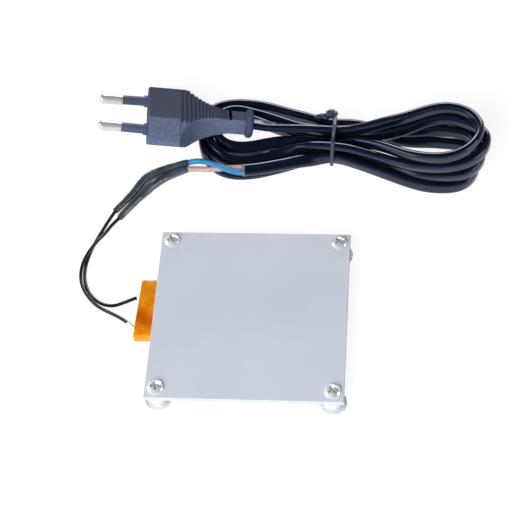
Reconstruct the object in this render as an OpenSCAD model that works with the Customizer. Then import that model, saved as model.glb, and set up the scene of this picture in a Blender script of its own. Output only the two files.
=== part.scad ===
// Small electric heating platform for soldering and preheating work.
// A square aluminium plate stands on four corner feet. A flat PTC heater, wrapped in
// amber film, is bonded under it and sticks out at the left, where its two leads start.
// They are spliced to a flat two-core mains cord, tied in a hank, with a flat plug.
// X runs to the right, Y to the back and Z up. Z = 0 is the table under the feet.

/* [Heating plate] */
// Width of the plate, left to right
plate_w = 70; // [66:1:90]
// Depth of the plate, front to back
plate_d = 70; // [60:1:90]
// Thickness of the plate
plate_t = 2; // [1.5:0.1:4]
// Bevel along the plate's edges
plate_bevel = 0.2; // [0.1:0.05:0.5]
// Distance from each edge of the plate to the screw axes
screw_inset = 4; // [3.6:0.1:8]

/* [Screws and feet] */
// Diameter of the screw thread
screw_d = 3; // [2.5:0.1:3.5]
// Length of the screw below its head
screw_l = 8; // [5:0.5:9]
// Diameter of the pan head
head_d = 5.6; // [5:0.1:7]
// Height of the pan head
head_h = 2.2; // [1.8:0.1:3]
// Depth of the cross recess in the head
recess_depth = 1.3; // [0.8:0.1:1.6]
// Width across the cross recess
recess_w = 3.2; // [2.4:0.1:4]
// Clearance of the screw in the plate's hole, on the diameter
hole_clearance = 0.3; // [0.1:0.05:0.8]
// Clearance of the thread in the foot, on the diameter
thread_clearance = 0.1; // [0.05:0.05:0.3]
// Height of the feet, from the table to the plate
foot_h = 6.5; // [6:0.1:12]
// Diameter of the foot's barrel
foot_d = 7; // [5.5:0.1:8]
// Diameter of the flange at the foot's base
flange_d = 9.5; // [8.5:0.1:12]
// Thickness of the flange
flange_t = 1; // [0.6:0.1:2]

/* [Heater] */
// Overall length of the wrapped heater
heater_l = 72; // [68:1:78]
// Overall width of the wrapped heater
heater_w = 23.6; // [22:0.2:30]
// Length that sticks out past the plate's left edge
heater_out = 6; // [3:0.5:8]
// Distance of the heater's middle line behind the plate's centre
heater_shift = 3.2; // [0:0.1:5]
// Thickness of the film wrap, all turns together
film_t = 0.3; // [0.2:0.05:0.5]
// Rounding of the film where it folds round the long edges
film_r = 1; // [0.6:0.1:1.8]
// Thickness of the adhesive between the heater and the plate
adhesive_t = 0.3; // [0.1:0.05:0.6]
// Thickness of each electrode sheet
electrode_t = 0.8; // [0.5:0.1:1]
// Width of each electrode sheet
electrode_w = 20; // [18:0.2:21]
// Thickness of the ceramic chips
chip_t = 2.2; // [2.2:0.1:2.8]
// Length of each ceramic chip
chip_l = 14; // [10:0.5:15]
// Width of each ceramic chip
chip_w = 18; // [12:0.5:18]
// Number of ceramic chips
chip_count = 4; // [2:1:4]
// Length inside the wrap that is left for the lead joints
lead_bay = 7; // [6.5:0.1:9]
// Thickness of the silicone seal at the lead end
seal_t = 2; // [1:0.1:2.2]
// Width of the electrode tabs that the leads are crimped to
tab_w = 3; // [2:0.1:4]
// Length of the crimps
crimp_l = 2.6; // [2:0.1:3]
// Distance of the far lead behind the heater's middle line
lead_far = 5.8; // [4:0.1:7]
// Distance of the near lead in front of the heater's middle line
lead_near = 8.7; // [7:0.1:8.7]

/* [Leads and splices] */
// Diameter of the black lead wires
lead_d = 1.3; // [1:0.05:1.6]
// Outer diameter of the white sleeves on the leads
sleeve_d = 2.1; // [2:0.05:2.2]
// Clearance round a lead inside its sleeve and crimp, on the diameter
sleeve_clearance = 0.14; // [0.1:0.02:0.2]
// Wall of the heat-shrink tubing
shrink_wall = 0.4; // [0.3:0.05:0.6]
// Diameter of the blue and brown cores
core_d = 2.2; // [1.8:0.1:2.4]

/* [Mains cord] */
// Width of the flat cord
cord_w = 5.2; // [4.8:0.1:5.8]
// Thickness of the flat cord
cord_t = 3.2; // [2.8:0.1:3.6]
// Thickness of the wire tie round the hank
tie_t = 1.2; // [0.8:0.1:1.2]

/* [Plug] */
// Width of the plug's body, across the pins
plug_w = 35.3; // [34:0.1:37]
// Height of the plug's body
plug_h = 13.7; // [13:0.1:14.4]
// Width of the flat on top of the body
plug_flat = 19.3; // [17:0.1:22]
// Height of the narrow side face
plug_side = 2; // [1:0.1:4]
// Length of the wide part of the body
plug_body_l = 11.5; // [11:0.1:14]
// Length from the front face to the strain relief's last rib
plug_ribs_l = 31.2; // [30:0.1:33]
// Thickness of the strain relief at its narrow end
relief_h = 6.8; // [6.4:0.1:7.6]
// Width of the strain relief at its narrow end
relief_w = 6.6; // [6.4:0.1:8]
// Distance between the ribs
rib_pitch = 1.4; // [1.2:0.1:2]
// Depth of the grooves between the ribs
rib_depth = 0.6; // [0.3:0.1:0.8]
// Diameter of the end collar
collar_d = 10.8; // [9.8:0.1:11]
// Thickness of the end collar
collar_t = 3; // [2:0.1:3]
// Distance from the front face to the cord's exit
plug_l = 41; // [40:0.1:41]
// Distance between the pins at the front face
pin_gap = 18.6; // [17.6:0.1:19]
// Distance between the pins at their tips
pin_gap_tip = 17.5; // [17:0.1:18.5]
// Diameter of the pins
pin_d = 4; // [3.8:0.05:4.1]
// Length of each pin in front of the plug
pin_l = 19; // [18:0.5:20]
// Diameter of the pin under its insulating sleeve
shank_d = 3; // [2.4:0.1:3.2]
// Outer diameter of the insulating sleeve
pin_sleeve_d = 3.6; // [3.4:0.05:3.8]
// Length of the insulating sleeve in front of the plug
pin_sleeve_l = 10; // [9:0.5:11]
// Diameter of the collar at the foot of each sleeve
pin_foot_d = 4.6; // [4.2:0.1:5]
// Length of the collar at the foot of each sleeve
pin_foot_l = 1.6; // [1:0.1:2]
// Thickness of the hard insert that carries the pins
carrier_t = 8; // [7:0.1:8.6]
// Length of the hard insert
carrier_l = 6; // [5:0.1:7]
// Wall of the plug in front of the insert
front_wall = 1.5; // [1:0.1:2]

/* [Hidden] */
fine = 64;
over = 0.1;

// The origin is under the middle of the platform with its heater, so the plate's centre
// lies to the right by half of what the heater reaches past the feet.
foot_x = plate_w/2 - screw_inset;
foot_y = plate_d/2 - screw_inset;
reach_right = max(plate_w/2, foot_x + flange_d/2);
reach_left = plate_w/2 + heater_out;
centre_x = (reach_left - reach_right)/2;
plate_top = foot_h + plate_t;

// The heater hangs under the plate in layers, from the top down.
heater_t = 2*film_t + 2*electrode_t + chip_t;
heater_top = foot_h - adhesive_t;
heater_mid = heater_top - heater_t/2;
heater_x0 = -plate_w/2 - heater_out;
heater_x1 = heater_x0 + heater_l;
inner_w = heater_w - 2*film_t;
inner_t = heater_t - 2*film_t;
electrode_x0 = heater_x0 + lead_bay;
electrode_x1 = heater_x1 - film_t;
chip_pitch = (electrode_x1 - electrode_x0)/chip_count;
crimp_d = inner_t - 2*electrode_t;
crimp_x0 = electrode_x0 - crimp_l;
lead_far_y = heater_shift + lead_far;
lead_near_y = heater_shift - lead_near;

// The leads' routes, measured from the plate's centre. Their first points follow the
// heater, and the rest are where they lie on the table.
lead_far_start = [[crimp_x0 + crimp_l/2, lead_far_y, heater_mid],
                  [heater_x0, lead_far_y, heater_mid]];
sleeve_far_end = [heater_x0 - 1.4, lead_far_y - 0.3, heater_mid - 0.1];
lead_near_start = [[crimp_x0 + crimp_l/2, lead_near_y, heater_mid],
                   [heater_x0, lead_near_y, heater_mid]];
sleeve_near_mid = [heater_x0 - 2, lead_near_y + 1.3, heater_mid - 0.1];
sleeve_near_end = [heater_x0 - 3.6, lead_near_y + 3.2, heater_mid - 0.4];
LEAD_FAR = concat(lead_far_start, [sleeve_far_end],
    [[-45.4, 8, 3], [-48.4, 7.4, 1.8], [-51, 7, 1], [-53.5, 7.1, 0.7], [-56.2, 7.9, 0.7],
     [-59, 9.8, 0.7], [-61.4, 12.6, 0.7], [-63.1, 16.2, 0.7], [-64, 20.1, 0.7],
     [-64.1, 24, 0.7], [-63.6, 28, 0.7], [-62.7, 32, 0.7], [-61.4, 36, 0.7],
     [-59.9, 40, 0.7], [-58.1, 44.4, 0.8], [-55.6, 49.4, 1.3]]);
LEAD_NEAR = concat(lead_near_start, [sleeve_near_mid, sleeve_near_end],
    [[-48, 0.7, 2.6], [-51.8, 3.3, 1.4], [-54.6, 5, 0.8], [-57.6, 6.9, 0.7],
     [-61.1, 10.3, 0.7], [-63.8, 14.4, 0.7], [-65.3, 18.8, 0.7], [-65.4, 23.6, 1.2],
     [-64.2, 27.8, 2], [-62.6, 31.4, 2.1], [-60.6, 35.4, 1.7], [-58.5, 39.2, 0.9],
     [-56.4, 42.8, 0.9], [-53.6, 46.2, 1.3]]);

// The splices under the heat-shrink tubing: route and radius of the joint at each point
SPLICE_FAR = [[-55.6, 49.4, 1.3], [-51.8, 54.5, 1.5], [-48.5, 59.6, 1.7], [-45.6, 64.2, 1.8],
              [-42.4, 66.8, 1.8], [-38.4, 68.9, 1.7], [-34.3, 70.7, 1.6], [-30, 72.3, 1.6]];
SPLICE_FAR_R = [0.9, 0.9, 1.1, 1.2, 1.2, 1.1, 1.1, 1.1];
SPLICE_NEAR = [[-53.6, 46.2, 1.3], [-50.4, 50.9, 1.5], [-47.3, 55.3, 1.6], [-44.6, 58.6, 1.9],
               [-42.2, 61.4, 2], [-39.9, 63.5, 1.8], [-37, 65.6, 1.6], [-33.8, 67.4, 1.6],
               [-30, 69.1, 1.6]];
SPLICE_NEAR_R = [0.9, 0.9, 1.1, 1.5, 1.6, 1.3, 1.1, 1.1, 1.1];

// The cores' routes, from the splices to the cord's cut end, which lies on the hank
CORE_BLUE = [[-30, 72.3, 1.6], [-27.5, 72.6, 2.1], [-25, 72, 3.2], [-22.6, 70.6, 4.6],
             [-20.5, 68.9, 5.7], [-18.5, 67, 6.4], [-16.4, 65.3, 6.6], [-14, 64.5, 6.3],
             [-11, 64.5, 5.7], [-7, 64.9, 5.5]];
CORE_BROWN = [[-30, 69.1, 1.6], [-25.4, 69.1, 1.9], [-22.6, 68.7, 2.4], [-20.4, 68.2, 3.1],
              [-18.5, 67.6, 4.1], [-16.4, 67.2, 5], [-12, 67.3, 5.4], [-7, 67.5, 5.5]];
CUT_END = [[-7, 66.2, 5.5], [-1, 67, 5.5], [5, 68.3, 5.5], [10, 69.7, 5.5], [14, 70.8, 5.5]];

// The hank lies flat behind the platform and is tied in the middle.
// Its near and far edges bow inwards to the tie.
left_lobe = [-8.4, 83.8];
left_lobe_r = 19.6;
left_gap = [-9, 86.4];
left_gap_r = 7.6;
left_gap_tip = [11, 85];
right_lobe = [71.6, 74.4];
right_lobe_r = 15.6;
right_gap = [71, 73.4];
right_gap_r = 7.2;
right_gap_tip = [44, 77];
lobe_meet = 0.9;
tie_x = 26.4;
tie_y0 = 72;
tie_y1 = 95.4;
tie_top = 11.8;
tie_r = 3;
hank_neck_h = 3.2;
hank_left_h = 5.2;
hank_near_h = 3.8;
hank_left_x = -14;
hank_step_x = 14;
hank_slope_x = 38;
hank_full_x = 62;
hank_h = 20.8;

// The plug leans on the hank's left end with its pins raised.
plug_at = [-45, 84.6, 15.6];
plug_pitch = 12;
plug_roll = 16;
plug_yaw = 4;
plug_turn = [-plug_roll, plug_pitch, plug_yaw];
relief_sweep = 20;
relief_x0 = plug_body_l + 1;
relief_flare = 16;
pin_y = pin_gap/2;
pin_lean = atan((pin_gap - pin_gap_tip)/2/pin_l);
carrier_w = pin_gap + 7;
carrier_end = front_wall + carrier_l;
plug_crimp_l = 4;
plug_crimp_d = 3.6;
crimp_grip = 1.5;
crimp_end = carrier_end + plug_crimp_l;
// The cores close in behind the crimps, then run side by side to the cord.
core_gap = cord_w - core_d - 0.4;
core_y0 = pin_y + crimp_end*tan(pin_lean);
core_join_x = crimp_end + 12.5;
core_slant = atan((core_y0 - core_gap/2)/(core_join_x - crimp_end));
core_mitre = core_d/2*tan(core_slant/2);
exit_at = placed_on_plug([plug_l, 0, 0]);
PLUG_RUN = concat([exit_at],
    [[-2.4, 87.5, 6.7], [0.4, 87, 6.8], [4, 86, 7.3], [8, 84.8, 8.2], [11, 83.8, 8.8],
     [14, 83, 9.2]]);

// Vector helpers for the swept tubes
function unit(v) = v/norm(v);
function last(p) = p[len(p) - 1];
function along(p, i) =
    unit(p[min(i + 1, len(p) - 1)] - p[max(i - 1, 0)]);
function grown(p, e) =
    [for (i = [0:len(p) - 1])
        i == 0 ? p[0] - e*unit(p[1] - p[0])
        : i == len(p) - 1 ? last(p) + e*unit(last(p) - p[i - 1])
        : p[i]];
function each_r(r, i) = is_list(r) ? r[i] : r;
// One ring: an oval of half width a across the route and half height b, square to it
function ring(p, i, a, b, n, t) =
    let (d = is_undef(t) ? along(p, i) : t,
         side = unit(cross(d, [0, 0, 1])),
         up = cross(side, d))
    [for (k = [0:n - 1]) p[i] + a*cos(360*k/n)*side + b*sin(360*k/n)*up];
function turned(v, a) =
    let (x = [v[0], v[1]*cos(a[0]) - v[2]*sin(a[0]), v[1]*sin(a[0]) + v[2]*cos(a[0])],
         y = [x[0]*cos(a[1]) + x[2]*sin(a[1]), x[1], -x[0]*sin(a[1]) + x[2]*cos(a[1])])
    [y[0]*cos(a[2]) - y[1]*sin(a[2]), y[0]*sin(a[2]) + y[1]*cos(a[2]), y[2]];
function placed_on_plug(v) = plug_at + turned(v, plug_turn);

// A tube along route p, closed at both ends. The end rings can be given a direction.
module swept(p, a, b, n, first = undef, final = undef) {
    m = len(p);
    rings = [for (i = [0:m - 1])
        ring(p, i, each_r(a, i), each_r(b, i), n,
             i == 0 ? first : i == m - 1 ? final : undef)];
    sides = [for (i = [0:m - 2]) for (k = [0:n - 1])
        [i*n + k, i*n + (k + 1)%n, (i + 1)*n + (k + 1)%n, (i + 1)*n + k]];
    front = [for (k = [0:n - 1]) n - 1 - k];
    back = [for (k = [0:n - 1]) (m - 1)*n + k];
    polyhedron([for (r = rings) for (v = r) v], concat([front], sides, [back]));
}

module on_platform() {
    translate([centre_x, 0, 0]) children();
}

module at_corner(sx, sy) {
    translate([sx*foot_x, sy*foot_y, 0]) children();
}

module at_corners() {
    for (sx = [-1, 1]) for (sy = [-1, 1]) at_corner(sx, sy) children();
}

module bevelled(w, t, c) {
    polygon([[-w/2 + c, 0], [w/2 - c, 0], [w/2, c], [w/2, t - c],
             [w/2 - c, t], [-w/2 + c, t], [-w/2, t - c], [-w/2, c]]);
}

module rounded(w, h, r) {
    square([w - 2*r, h], center = true);
    square([w, h - 2*r], center = true);
    for (sx = [-1, 1]) for (sy = [-1, 1])
        translate([sx*(w/2 - r), sy*(h/2 - r)]) circle(r = r, $fn = fine);
}

// Runs a profile, drawn across the heater, along X from x0 to x1
module along_heater(x0, x1) {
    translate([x0, heater_shift, heater_mid])
        rotate([90, 0, 90]) linear_extrude(x1 - x0) children();
}

module heating_plate() {
    color("#c3c8d2") on_platform() translate([0, 0, foot_h]) difference() {
        intersection() {
            translate([0, plate_d/2, 0]) rotate([90, 0, 0])
                linear_extrude(plate_d) bevelled(plate_w, plate_t, plate_bevel);
            translate([-plate_w/2, 0, 0]) rotate([90, 0, 90])
                linear_extrude(plate_w) bevelled(plate_d, plate_t, plate_bevel);
        }
        at_corners() translate([0, 0, -over])
            cylinder(d = screw_d + hole_clearance, h = plate_t + 2*over, $fn = fine);
    }
}

// A pan head is a low cylinder with a domed top.
module screw(turn) {
    rim = head_h*0.45;
    dome = head_h - rim;
    dome_r = (pow(head_d/2, 2) + dome*dome)/2/dome;
    difference() {
        union() {
            translate([0, 0, plate_top]) cylinder(d = head_d, h = rim, $fn = fine);
            translate([0, 0, plate_top]) intersection() {
                translate([0, 0, head_h - dome_r]) sphere(r = dome_r, $fn = fine);
                cylinder(d = head_d, h = head_h, $fn = fine);
            }
            translate([0, 0, plate_top - screw_l])
                cylinder(d = screw_d, h = screw_l + rim/2, $fn = fine);
        }
        translate([0, 0, plate_top + head_h - recess_depth]) rotate([0, 0, turn])
            for (a = [0, 90]) rotate([0, 0, a])
                translate([-recess_w/2, -recess_w/8, 0])
                    cube([recess_w, recess_w/4, recess_depth + over]);
    }
}

module corner_screws() {
    color("#d9d9d6") on_platform() {
        at_corner(-1, 1) screw(25);
        at_corner(1, 1) screw(50);
        at_corner(-1, -1) screw(10);
        at_corner(1, -1) screw(38);
    }
}

module foot() {
    difference() {
        union() {
            cylinder(d = flange_d, h = flange_t, $fn = fine);
            cylinder(d = foot_d, h = foot_h, $fn = fine);
        }
        translate([0, 0, -over])
            cylinder(d = screw_d + thread_clearance, h = foot_h + 2*over, $fn = fine);
    }
}

module one_foot(sx, sy) {
    color("#cfd0d0") on_platform() at_corner(sx, sy) foot();
}

module bond_layer() {
    color("#e8e6df") on_platform()
        translate([-plate_w/2, heater_shift - heater_w/2 + film_r, heater_top])
            cube([heater_x1 + plate_w/2, heater_w - 2*film_r, adhesive_t]);
}

module lead_holes(d) {
    for (y = [lead_far, -lead_near]) translate([y, 0]) circle(d = d, $fn = fine);
}

// The film is a closed wrap with two holes for the sleeved leads in its left end.
module heater_film() {
    color("#e08a00") on_platform() difference() {
        along_heater(heater_x0, heater_x1) rounded(heater_w, heater_t, film_r);
        along_heater(heater_x0 + film_t, heater_x1 - film_t)
            rounded(inner_w, inner_t, film_r - film_t);
        along_heater(heater_x0 - over, heater_x0 + film_t + over) lead_holes(sleeve_d);
    }
}

module end_seal() {
    color("#efeee8") on_platform() difference() {
        along_heater(heater_x0 + film_t, heater_x0 + film_t + seal_t)
            rounded(inner_w, inner_t, film_r - film_t);
        along_heater(heater_x0, heater_x0 + film_t + seal_t + over)
            lead_holes(sleeve_d);
    }
}

// An electrode is a sheet with a narrow tab that reaches over its lead's crimp.
module electrode(z, tab_y) {
    translate([electrode_x0, heater_shift - electrode_w/2, z])
        cube([electrode_x1 - electrode_x0, electrode_w, electrode_t]);
    translate([crimp_x0, tab_y - tab_w/2, z])
        cube([crimp_l + over, tab_w, electrode_t]);
}

module upper_electrode() {
    color("#b9bcc0") on_platform()
        electrode(heater_top - film_t - electrode_t, lead_far_y);
}

module lower_electrode() {
    color("#b9bcc0") on_platform()
        electrode(heater_top - heater_t + film_t, lead_near_y);
}

module ptc_chips() {
    color("#4a4641") on_platform() for (i = [0:chip_count - 1])
        translate([electrode_x0 + (i + 0.5)*chip_pitch - chip_l/2,
                   heater_shift - chip_w/2, heater_mid - chip_t/2])
            cube([chip_l, chip_w, chip_t]);
}

module lead_crimps() {
    color("#c9ccd0") on_platform() for (y = [lead_far_y, lead_near_y])
        translate([crimp_x0, y, heater_mid]) rotate([0, 90, 0]) difference() {
            cylinder(d = crimp_d, h = crimp_l, $fn = fine);
            translate([0, 0, -over])
                cylinder(d = lead_d + sleeve_clearance, h = crimp_l + 2*over, $fn = fine);
        }
}

// The white sleeve follows its lead, from inside the seal to a little past the wrap.
module lead_sleeve(p) {
    bore = (lead_d + sleeve_clearance)/2;
    color("#f4f3ee") on_platform() difference() {
        swept(p, sleeve_d/2, sleeve_d/2, 8, first = [-1, 0, 0]);
        swept(grown(p, over), bore, bore, 8, first = [-1, 0, 0]);
    }
}

function sleeve_start(y) = [[heater_x0 + film_t + seal_t, y, heater_mid],
                            [heater_x0, y, heater_mid]];

module lead_sleeve_far() {
    lead_sleeve(concat(sleeve_start(lead_far_y), [sleeve_far_end]));
}

module lead_sleeve_near() {
    lead_sleeve(concat(sleeve_start(lead_near_y), [sleeve_near_mid, sleeve_near_end]));
}

module lead_wire(p, splice) {
    color("#1b1b1c") on_platform()
        swept(p, lead_d/2, lead_d/2, 8, first = [-1, 0, 0], final = unit(splice[1] - splice[0]));
}

module splice_joint(p, r, core) {
    color("#a9a49a") on_platform()
        swept(p, r, r, 8, final = unit(core[1] - core[0]));
}

module heat_shrink(p, r, core) {
    color("#2b3136") on_platform() difference() {
        swept(p, [for (x = r) x + shrink_wall], [for (x = r) x + shrink_wall], 8,
              final = unit(core[1] - core[0]));
        swept(grown(p, over), r, r, 8, final = unit(core[1] - core[0]));
    }
}

module core(p, tint) {
    color(tint) on_platform() swept(p, core_d/2, core_d/2, 8, final = [1, 0, 0]);
}

module flat_cord(p, first) {
    color("#15161a") on_platform()
        swept(p, cord_w/2, cord_t/2, 12, first = first, final = [1, 0, 0]);
}

// The hank from above: two round lobes joined by a waist at the tie
module hank_block() {
    difference() {
        union() {
            translate(left_lobe) cylinder(r = left_lobe_r, h = hank_h, $fn = fine);
            translate(right_lobe) cylinder(r = right_lobe_r, h = hank_h, $fn = fine);
            linear_extrude(hank_h) polygon([
                left_lobe + [0, lobe_meet*left_lobe_r], [tie_x, tie_y1],
                right_lobe + [0, lobe_meet*right_lobe_r],
                right_lobe - [0, lobe_meet*right_lobe_r],
                [tie_x, tie_y0], left_lobe - [0, lobe_meet*left_lobe_r]]);
        }
        lobe_gap(left_gap, left_gap_r, left_gap_tip);
        lobe_gap(right_gap, right_gap_r, right_gap_tip);
    }
}

// A lobe's open middle narrows to a point towards the tie.
module lobe_gap(c, r, tip) {
    translate([c[0], c[1], -over]) cylinder(r = r, h = hank_h + 2*over, $fn = fine);
    translate([0, 0, -over]) linear_extrude(hank_h + 2*over)
        polygon([c + [0, lobe_meet*r], tip, c - [0, lobe_meet*r]]);
}

// From the side, the hank rises from its left lobe to the stacked right lobe.
module hank_side() {
    x0 = left_lobe[0] - left_lobe_r - 1;
    x1 = right_lobe[0] + right_lobe_r + 1;
    polygon([[x0, 0], [x1, 0], [x1, hank_h], [hank_full_x, hank_h], [hank_slope_x, tie_top],
             [hank_step_x, tie_top], [hank_step_x, hank_left_h], [hank_left_x, hank_left_h],
             [hank_left_x, hank_neck_h], [x0, hank_neck_h]]);
}

module cord_hank() {
    color("#15161a") on_platform() difference() {
        intersection() {
            hank_block();
            translate([0, tie_y1 + right_lobe_r, 0]) rotate([90, 0, 0])
                linear_extrude(tie_y1) hank_side();
        }
        // The near strands of the left lobe lie flatter than the far ones.
        translate([left_gap[0] - 2*left_lobe_r, 0, hank_near_h])
            cube([hank_step_x - left_gap[0] + 2*left_lobe_r, left_gap[1], hank_h]);
        tie_shape();
    }
}

// The wire tie is a flattened loop round the waist, with its ends twisted on top.
module tie_loop(grow) {
    rounded(tie_y1 - tie_y0 + 2*grow, tie_top - tie_t + 2*grow, tie_r + grow);
}

module tie_shape() {
    translate([tie_x - tie_t/2, (tie_y0 + tie_y1)/2, (tie_top + tie_t)/2])
        rotate([90, 0, 90]) linear_extrude(tie_t) difference() {
            tie_loop(tie_t);
            tie_loop(0);
        }
}

module hank_tie() {
    twist_d = 2*tie_t;
    color("#1d1e22") on_platform() {
        tie_shape();
        translate([tie_x + tie_t, tie_y1 - tie_r, tie_top + tie_t + 0.3*twist_d])
            rotate([0, -90, 20]) cylinder(d = twist_d, h = 3*twist_d, $fn = fine);
    }
}

module on_plug() {
    on_platform() translate(plug_at) rotate(plug_turn) children();
}

// The plug's section: a flat-topped hexagon with narrow side faces
module plug_section() {
    polygon([[-plug_w/2, -plug_side/2], [-plug_flat/2, -plug_h/2], [plug_flat/2, -plug_h/2],
             [plug_w/2, -plug_side/2], [plug_w/2, plug_side/2], [plug_flat/2, plug_h/2],
             [-plug_flat/2, plug_h/2], [-plug_w/2, plug_side/2]]);
}

// The plug from above: the wide body, then flanks that sweep in to the strain relief
module plug_plan() {
    cy = relief_w/2 + relief_sweep;
    difference() {
        translate([0, -plug_w/2]) square([plug_ribs_l, plug_w]);
        for (s = [-1, 1]) {
            translate([plug_ribs_l, s*cy]) circle(r = relief_sweep, $fn = 2*fine);
            translate([relief_x0, s > 0 ? relief_flare : -plug_w/2 - over])
                square([plug_ribs_l, plug_w/2 - relief_flare + over]);
        }
    }
}

module plug_side_view() {
    polygon([[0, -plug_h/2], [plug_body_l, -plug_h/2], [plug_ribs_l, -relief_h/2],
             [plug_ribs_l, relief_h/2], [plug_body_l, plug_h/2], [0, plug_h/2]]);
}

module relief_grooves() {
    slope = atan((plug_h - relief_h)/2/(plug_ribs_l - plug_body_l));
    count = floor((plug_ribs_l - plug_body_l)/rib_pitch);
    for (s = [-1, 1]) for (i = [1:count])
        translate([plug_body_l + (i - 0.3)*rib_pitch, 0,
                   s*(plug_h/2 - i*rib_pitch*tan(slope))])
            rotate([0, s*slope, 0]) cube([rib_pitch/2, plug_w, 2*rib_depth], center = true);
}

// Behind the ribs a slotted block and a round collar let the cord bend gently.
module relief_tail() {
    slot = 1.6;
    block = relief_w - 0.4;
    neck = relief_h/2 + core_d*0.6;
    translate([plug_ribs_l - over, -block/2, -relief_h/2])
        cube([slot + 2*over, block, neck]);
    translate([plug_ribs_l + slot, -block/2, -relief_h/2])
        cube([plug_l - plug_ribs_l - slot - over, block, relief_h]);
    translate([plug_l - collar_t, 0, 0]) rotate([0, 90, 0])
        rotate_extrude($fn = fine) collar_profile();
}

module collar_profile() {
    r = collar_d/2;
    round_r = collar_t/3;
    square([r - round_r, collar_t]);
    translate([0, round_r]) square([r, collar_t - 2*round_r]);
    for (z = [round_r, collar_t - round_r])
        translate([r - round_r, z]) circle(r = round_r, $fn = fine);
}

module plug_moulding() {
    color("#2a2c33") on_plug() difference() {
        union() {
            difference() {
                intersection() {
                    rotate([90, 0, 90]) linear_extrude(plug_l) plug_section();
                    translate([0, 0, -plug_h]) linear_extrude(2*plug_h) plug_plan();
                    translate([0, plug_w, 0]) rotate([90, 0, 0])
                        linear_extrude(2*plug_w) plug_side_view();
                }
                relief_grooves();
            }
            relief_tail();
        }
        translate([front_wall, -carrier_w/2, -carrier_t/2])
            cube([carrier_l, carrier_w, carrier_t]);
        at_pins() translate([0, 0, -carrier_end])
            cylinder(d = shank_d, h = carrier_end + over, $fn = fine);
        at_pins() translate([0, 0, -crimp_end])
            cylinder(d = plug_crimp_d, h = plug_crimp_l, $fn = fine);
        slanted_cores();
        core_channel();
    }
}

// A pin leans in slightly towards its tip, turned about its foot in the front face.
// Its own Z runs out of the plug.
module on_pin(s) {
    translate([0, s*pin_y, 0]) rotate([0, 0, s*pin_lean]) rotate([0, -90, 0]) children();
}

module at_pins() {
    for (s = [-1, 1]) on_pin(s) children();
}

module pin_carrier() {
    color("#3a3c42") on_plug() difference() {
        translate([front_wall, -carrier_w/2, -carrier_t/2])
            cube([carrier_l, carrier_w, carrier_t]);
        at_pins() translate([0, 0, -carrier_end - over])
            cylinder(d = shank_d, h = carrier_end + over, $fn = fine);
    }
}

module plug_pin(s) {
    tip_r = pin_d/2;
    bare = pin_l - pin_sleeve_l - tip_r;
    inner = carrier_end + crimp_grip;
    color("#cfd2d6") on_plug() on_pin(s) {
        translate([0, 0, -inner])
            cylinder(d = shank_d, h = inner + pin_sleeve_l + bare/2, $fn = fine);
        translate([0, 0, pin_sleeve_l]) cylinder(r = tip_r, h = bare, $fn = fine);
        translate([0, 0, pin_sleeve_l + bare]) intersection() {
            sphere(r = tip_r, $fn = fine);
            cylinder(r = tip_r, h = tip_r, $fn = fine);
        }
    }
}

module pin_sleeve(s) {
    color("#2a2c33") on_plug() on_pin(s) difference() {
        union() {
            cylinder(d = pin_sleeve_d, h = pin_sleeve_l, $fn = fine);
            cylinder(d = pin_foot_d, h = pin_foot_l, $fn = fine);
        }
        translate([0, 0, -over])
            cylinder(d = shank_d, h = pin_sleeve_l + 2*over, $fn = fine);
    }
}

module plug_crimps() {
    color("#b58a4c") on_plug() at_pins() difference() {
        translate([0, 0, -crimp_end]) cylinder(d = plug_crimp_d, h = plug_crimp_l, $fn = fine);
        translate([0, 0, -carrier_end - crimp_grip])
            cylinder(d = shank_d, h = crimp_grip + over, $fn = fine);
    }
}

// The cores close in behind the crimps.
module slanted_cores() {
    slant_l = norm([core_join_x - crimp_end, core_y0 - core_gap/2]);
    for (s = [-1, 1]) translate([crimp_end, s*core_y0, 0])
        rotate([0, 0, -s*core_slant]) rotate([0, 90, 0])
            cylinder(d = core_d, h = slant_l, $fn = fine);
}

module plug_cores() {
    color("#1f86c9") on_plug() {
        slanted_cores();
        for (s = [-1, 1]) translate([core_join_x - core_mitre, s*core_gap/2, 0])
            rotate([0, 90, 0])
                cylinder(d = core_d, h = plug_l - core_join_x + core_mitre, $fn = fine);
    }
}

// From there to the cord's exit, they lie side by side in a flat channel.
module core_channel() {
    w = core_gap + core_d;
    translate([core_join_x - core_d, -w/2, -core_d/2])
        cube([plug_l - core_join_x + core_d + over, w, core_d]);
}

heating_plate();
corner_screws();
one_foot(-1, -1);  // foot_front_left
one_foot(1, -1);  // foot_front_right
one_foot(-1, 1);  // foot_back_left
one_foot(1, 1);  // foot_back_right
bond_layer();
heater_film();
end_seal();
upper_electrode();
lower_electrode();
ptc_chips();
lead_crimps();
lead_sleeve_far();
lead_sleeve_near();
lead_wire(LEAD_FAR, SPLICE_FAR);  // lead_wire_far
lead_wire(LEAD_NEAR, SPLICE_NEAR);  // lead_wire_near
splice_joint(SPLICE_FAR, SPLICE_FAR_R, CORE_BLUE);  // splice_far
splice_joint(SPLICE_NEAR, SPLICE_NEAR_R, CORE_BROWN);  // splice_near
heat_shrink(SPLICE_FAR, SPLICE_FAR_R, CORE_BLUE);  // heat_shrink_far
heat_shrink(SPLICE_NEAR, SPLICE_NEAR_R, CORE_BROWN);  // heat_shrink_near
core(CORE_BLUE, "#1f86c9");  // core_blue
core(CORE_BROWN, "#a9746a");  // core_brown
flat_cord(CUT_END, [1, 0, 0]);  // cord_cut_end
cord_hank();
flat_cord(PLUG_RUN, turned([1, 0, 0], plug_turn));  // cord_plug_run
hank_tie();
plug_moulding();
pin_carrier();
plug_crimps();
plug_cores();
plug_pin(1);  // plug_pin_far
plug_pin(-1);  // plug_pin_near
pin_sleeve(1);  // pin_sleeve_far
pin_sleeve(-1);  // pin_sleeve_near
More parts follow.
